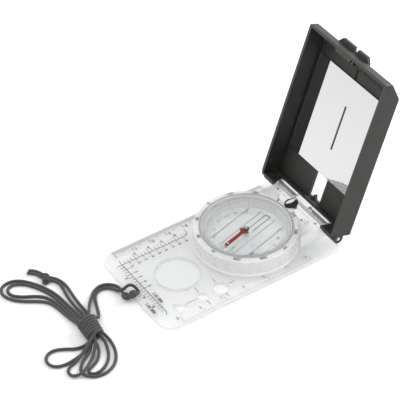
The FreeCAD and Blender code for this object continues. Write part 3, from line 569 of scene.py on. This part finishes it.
def outer_side(middle, normal):
    return middle.x > LID_HALF - LID_SIDE_ROUND and normal.x > 0.5


def cup_side(middle, normal):
    return middle.z > CUP_SIDE_LOW and abs(normal.z) < 0.3


def plate_rim(middle, normal):
    """The plate's upright faces, its outline and the walls of its holes, which get painted shade.
    """
    return middle.z < PLATE_TOP - 0.1 and abs(normal.z) < 0.5


def block_end(middle, normal):
    """The two ends of the hinge block and its barrel."""
    return (middle.z > PLATE_TOP + 0.1 and abs(middle.x) > BLOCK_HALF - 0.2
            and abs(normal.x) > 0.7)


def barrel_slot(middle, normal):
    return middle.z > BARREL_SLOT_FLOOR and abs(middle.y - BARREL_Y) < 0.6


def flute(middle, normal):
    return (middle.z > FLUTES_LOW and abs(normal.z) < 0.3
            and FLUTES_INNER < middle.xy.length < FLUTES_OUTER)


second_finish("lid_cover", painted_shade_inside, inside_lid)
second_finish("lid_cover", painted_light_floor, inside_floor)
second_finish("lid_cover", painted_shade_outer, outer_side)
second_finish("capsule_cup", painted_shade_capsule_wall, cup_side)
second_finish("baseplate", painted_shade_acrylic_edge, plate_rim)
second_finish("baseplate", painted_highlight_end, block_end)
second_finish("baseplate", slot_shade, barrel_slot)
second_finish("bezel_ring", painted_shade_ring_flute, flute)


# ---------------------------------------------------------------- printed marks
INK_HIGH, INK_GAP = 0.02, 0.005     # the ink's thickness, and its gap over the face under it
FONT_SIZE = 1.4                     # size of the font whose digits are 1 high
FONT_WEIGHT = 0.05                  # how far the digits are thickened, as a share of their height
RIGHT_ANGLE = math.pi / 2


class Print:
    """Marks printed on one flat face, gathered in one mesh of raised ink."""

    def __init__(self, place):
        self.place = place
        self.mesh = bmesh.new()

    def bar(self, start, end, wide):
        start, end = Vector((*start, 0.0)), Vector((*end, 0.0))
        across = (end - start).normalized().cross(UP) * wide / 2
        low = [self.mesh.verts.new(p) for p in
               (start - across, start + across, end + across, end - across)]
        high = [self.mesh.verts.new(v.co + UP * INK_HIGH) for v in low]
        self.mesh.faces.new(high)
        self.mesh.faces.new(low[::-1])
        for i in range(4):
            j = (i + 1) % 4
            self.mesh.faces.new((low[i], low[j], high[j], high[i]))

    def path(self, points, wide):
        for a, b in zip(points, points[1:]):
            self.bar(a, b, wide)

    def number(self, text, middle, high, angle=0.0):
        data = bpy.data.curves.new("digits", "FONT")
        data.body, data.size, data.extrude = text, high * FONT_SIZE, INK_HIGH / 2
        data.align_x, data.align_y, data.resolution_u = "CENTER", "CENTER", 3
        data.offset = FONT_WEIGHT * high
        shape = bpy.data.objects.new("digits", data)
        flat = bpy.data.meshes.new_from_object(shape)
        flat.transform(Matrix.Translation((*middle, INK_HIGH / 2))
                       @ Matrix.Rotation(angle, 4, "Z"))
        self.mesh.from_mesh(flat)
        bpy.data.meshes.remove(flat)
        bpy.data.objects.remove(shape)
        bpy.data.curves.remove(data)

    def finish(self, name, body, material):
        mesh = bpy.data.meshes.new(name)
        self.mesh.transform(Matrix.Scale(MM, 4) @ self.place)
        bmesh.ops.recalc_face_normals(self.mesh, faces=self.mesh.faces)
        self.mesh.to_mesh(mesh)
        self.mesh.free()
        piece = link_piece(name, mesh, material)
        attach(piece, body)


def flat_at(height):
    """The place of marks that are printed on a level face at that height."""
    return Matrix.Translation((0, 0, height))


def top_of(node):
    """The height of a CAD node's top."""
    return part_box(node)[1].z / MM


plate_face = flat_at(PLATE_TOP + INK_GAP)


def centimetre_scale():
    """Millimetre ticks along the plate's left edge, numbered every centimetre."""
    marks = Print(plate_face)
    edge, start, ticks, last_number = -30.6, -60.3, 91, 7
    for tick in range(ticks):
        y = start + tick
        reach = 4.8 if tick % 10 == 0 else 3.5 if tick % 5 == 0 else 2.5
        marks.bar((edge, y), (edge + reach, y), 0.34)
        if tick % 10 == 0 and 0 < tick <= last_number * 10:
            marks.number(str(tick // 10), (edge + 4.6, y + 1.6), 1.9, RIGHT_ANGLE)
    marks.finish("centimetre_scale", "base", ink)


def inch_scale():
    """Ticks every sixteenth of an inch along the right edge, numbered every half inch."""
    marks = Print(plate_face)
    edge, start, inch, inches = 30.6, -57.3, 25.4, 3
    for tick in range(16 * inches + 1):
        y = start + tick * inch / 16
        reach = 4.0 if tick % 16 == 0 else 2.6 if tick % 8 == 0 else 1.3
        marks.bar((edge, y), (edge - reach, y), 0.3)
        if tick % 16 == 0:
            marks.number(str(tick // 16), (edge - 4.0, y - 1.6), 2.0, RIGHT_ANGLE)
        elif tick % 16 == 8:
            marks.number(".5", (edge - 4.0, y - 1.2), 1.6, RIGHT_ANGLE)
    marks.finish("inch_scale", "base", grey_ink)


def map_scales():
    """Two crossing grid scales near the front left corner, ticked on both sides."""
    marks = Print(plate_face)
    left, front, pitch = -20.0, -60.8, 2.0
    line, tick, fine_tick = 0.32, 0.26, 0.22        # widths
    marks.path([(left, -64.2), (left, -22.9), (left - 1.4, -21.2), (left - 4.2, -21.2)], line)
    marks.path([(left - 3.2, front), (20.0, front), (21.4, front - 1.4)], line)
    for step in range(1, 20):
        number = str(step // 2)
        y = front + pitch * step
        marks.bar((left, y), (left - (3.4 if step % 4 == 0 else 2.2), y), tick)
        if step % 4 == 0:
            marks.number(number, (left - 3.3, y + 1.4), 1.7, RIGHT_ANGLE)
        if step % 2 == 0:
            marks.bar((left, y), (left + 2.2, y), fine_tick)
            marks.number(number, (left + 3.3, y), 1.5)
        x = left + pitch * step
        marks.bar((x, front), (x, front - (3.2 if step % 4 == 0 else 2.2)), tick)
        if step % 4 == 0:
            marks.number(number, (x + 1.4, front - 3.4), 1.6)
        if step % 2 == 0 and step < 12:
            marks.bar((x, front), (x, front + 2.0), fine_tick)
            marks.number(number, (x, front + 3.1), 1.5)
    marks.number("1:25 000", (9.0, front + 1.8), 1.7)
    marks.number("1:50 000", (13.4, front - 5.2), 1.7)
    marks.finish("map_scales", "base", ink)


def stencil_guides():
    """Short lines that cross at the middles of the two round stencil holes."""
    marks = Print(plate_face)
    across, small, large = 20.6, -40.3, -29.6
    for start, end in (((across, -49.6), (across, small - 3.4)),
                       ((across - 7.2, small), (across - 3.4, small)),
                       ((across + 3.4, small), (across + 7.0, small)),
                       ((across - 7.2, large), (across - 4.6, large)),
                       ((across + 4.6, large), (across + 7.2, large)),
                       ((across, large + 4.6), (across, large + 8.2))):
        marks.bar(start, end, 0.3)
    marks.finish("stencil_guides", "base", ink)


def index_marks():
    """Small solid arrowheads beside the two luminous dots, and a V in front of the index."""
    marks = Print(flat_at(BLOCK_TOP + INK_GAP))
    for side in (-1, 1):
        for x, y, way in ((15.9, 31.0, -1.0), (9.9, 26.9, 1.0)):
            tip = Vector((side * (x + 0.75 * way), y + 0.5 * way))
            back = Vector((side * (x - 0.45 * way), y - 0.3 * way))
            # bars that grow from the tip to the back fill the arrowhead
            for share in (0.15, 0.4, 0.65, 0.9):
                middle = tip.lerp(back, share)
                half = Vector((side * 0.35, -0.5)) * share
                marks.bar(middle - half, middle + half, 0.4)
    marks.path([(-0.8, 29.3), (0.0, 28.1), (0.8, 29.3)], 0.3)
    marks.finish("index_marks", "base", ink)


DIAL_NORTH = math.radians(-75.5)    # where the dial's north lies at rest


def on_ring(radius, degrees):
    """A point of the dial, clockwise degrees from its north."""
    angle = DIAL_NORTH - math.radians(degrees)
    return (radius * math.cos(angle), radius * math.sin(angle))


def ring_number(marks, text, radius, degrees, high):
    """A number whose foot points to the dial's middle."""
    angle = DIAL_NORTH - math.radians(degrees) - RIGHT_ANGLE
    marks.number(text, on_ring(radius, degrees), high, angle)


def dial_scale():
    """The degree ring: a tick every 2.5 degrees and a number or letter every 30."""
    marks = Print(flat_at(top_of("bezel_ring") + 0.003))
    letters = {0: "N", 90: "E", 180: "S", 270: "W"}
    ticks, inner, numbers = 144, 22.75, 24.95
    for step in range(ticks):
        degrees = step * 360 / ticks
        outer = 24.15 if step % 2 == 0 else 23.8
        marks.bar(on_ring(inner, degrees), on_ring(outer, degrees), 0.48)
        if step % 12 == 0:
            text = letters.get(degrees, "%d" % degrees)
            ring_number(marks, text, numbers, degrees, 1.75)
    marks.finish("dial_scale", "dial", ink)


def orienting_lines():
    """Lines parallel to the dial's north, and the open box that the needle is set to."""
    disc_face = flat_at(top_of("orienting_disc") + INK_GAP)
    marks = Print(disc_face @ Matrix.Rotation(DIAL_NORTH, 4, "Z"))
    line, bold = 0.3, 0.42      # widths
    for off, back, front in ((11.1, -15.4, 13.9), (4.7, -17.2, 15.4)):
        for side in (1, -1):
            marks.bar((back, side * off), (front, side * off), line)
    marks.path([(-3.6, 1.4), (-17.0, 1.4), (-17.0, -1.4), (-3.6, -1.4)], bold)
    marks.bar((4.6, -1.1), (14.8, -1.1), bold)
    marks.finish("orienting_lines", "dial", ink)


def slope_scale():
    """The clinometer's two faint scales on the disc, east and west, from 50 to 50 degrees."""
    marks = Print(flat_at(top_of("orienting_disc") + INK_GAP))
    outer, numbers = 18.5, 16.2
    for side in (90, 270):
        for degrees in range(-50, 51, 5):
            inner = 17.4 if degrees % 10 == 0 else 17.9
            marks.bar(on_ring(outer, side + degrees), on_ring(inner, side + degrees), 0.14)
        for degrees in range(-50, 51, 20):
            ring_number(marks, str(abs(degrees)), numbers, side + degrees, 1.2)
    marks.finish("slope_scale", "dial", grey_ink)


def mirror_line():
    """The sighting line down the middle of the mirror."""
    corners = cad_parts["mirror"].data.vertices
    face = max((v.co / MM - LID_FOOT).dot(LID_OUT) for v in corners)
    turn = Matrix((Vector((1, 0, 0)), LID_ALONG, LID_OUT)).transposed().to_4x4()
    marks = Print(Matrix.Translation(LID_FOOT + LID_OUT * (face + 0.002)) @ turn)
    x, start, end, wide = 0.9, 34.0, 59.2, 1.25
    marks.bar((x, start), (x, end), wide)
    marks.finish("mirror_sight_line", "lid", ink)


def capsule_line():
    """Painted shadow in the joint between the capsule and the ring, as a thin raised grey band.
    """
    mesh = bmesh.new()
    steps, inner, outer = 180, 21.98, 22.2
    low = top_of("capsule_window") + 0.002
    high = top_of("capsule_window") + 0.03
    rows = []
    for radius, z in ((inner, low), (outer, low), (outer, high), (inner, high)):
        turns = [2 * math.pi * i / steps for i in range(steps)]
        rows.append([mesh.verts.new((radius * math.cos(turn) * MM,
                                     radius * math.sin(turn) * MM, z * MM)) for turn in turns])
    for k, row in enumerate(rows):
        other = rows[(k + 1) % len(rows)]
        for i in range(steps):
            j = (i + 1) % steps
            mesh.faces.new((row[i], row[j], other[j], other[i]))
    bmesh.ops.recalc_face_normals(mesh, faces=mesh.faces)
    data = bpy.data.meshes.new("capsule_joint_shadow_band")
    mesh.to_mesh(data)
    mesh.free()
    piece = link_piece("capsule_joint_shadow_band", data, grey_ink)
    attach(piece, "dial")


capsule_line()
centimetre_scale()
inch_scale()
map_scales()
stencil_guides()
index_marks()
dial_scale()
orienting_lines()
slope_scale()
mirror_line()


# ---------------------------------------------------------------- floor and light
FLOOR_REACH_M = 3.0
FLOOR_GAP_M = 0.00002       # keeps the floor clear of the faces that rest on it
WORLD_STRENGTH = 0.84
LAMPS = (       # name, place, the point it is aimed at, width, power in watts
    ("key_light", (-0.4, -0.5, 1.3), (0.0, 0.0, 0.0), 0.9, 4.2),
    ("side_light", (1.1, -0.3, 0.8), (0.0, 0.0, 0.02), 0.7, 1.3),
    ("back_light", (0.02, 1.0, 0.55), (0.0, 0.06, 0.0), 0.6, 12.0))


def add_floor():
    mesh = bpy.data.meshes.new("floor")
    far = FLOOR_REACH_M
    mesh.from_pydata([(-far, -far, 0), (far, -far, 0), (far, far, 0), (-far, far, 0)], [],
                     [(0, 1, 2, 3)])
    shader = Shader("floor", (0.92, 0.92, 0.92), 0.9, Specular_IOR_Level=0.1)
    shader.colours(shader.noise(scale=3.0), (0.915, 0.915, 0.915), (0.925, 0.925, 0.925))
    floor = link_piece("floor", mesh, shader.material)
    floor.location.z = -FLOOR_GAP_M


def add_world():
    world = bpy.data.worlds.new("studio")
    scene.world = world
    world.use_nodes = True
    background = world.node_tree.nodes["Background"]
    background.inputs["Color"].default_value = (1.0, 1.0, 1.0, 1.0)
    background.inputs["Strength"].default_value = WORLD_STRENGTH


def add_lamp(name, place, aim, wide, power):
    data = bpy.data.lights.new(name, "AREA")
    data.shape, data.size, data.energy = "DISK", wide, power
    lamp = bpy.data.objects.new(name, data)
    lamp.location = place
    lamp.rotation_mode = "QUATERNION"
    lamp.rotation_quaternion = (Vector(aim) - Vector(place)).to_track_quat("-Z", "Y")
    scene.collection.objects.link(lamp)


add_floor()
add_world()
for lamp in LAMPS:
    add_lamp(*lamp)
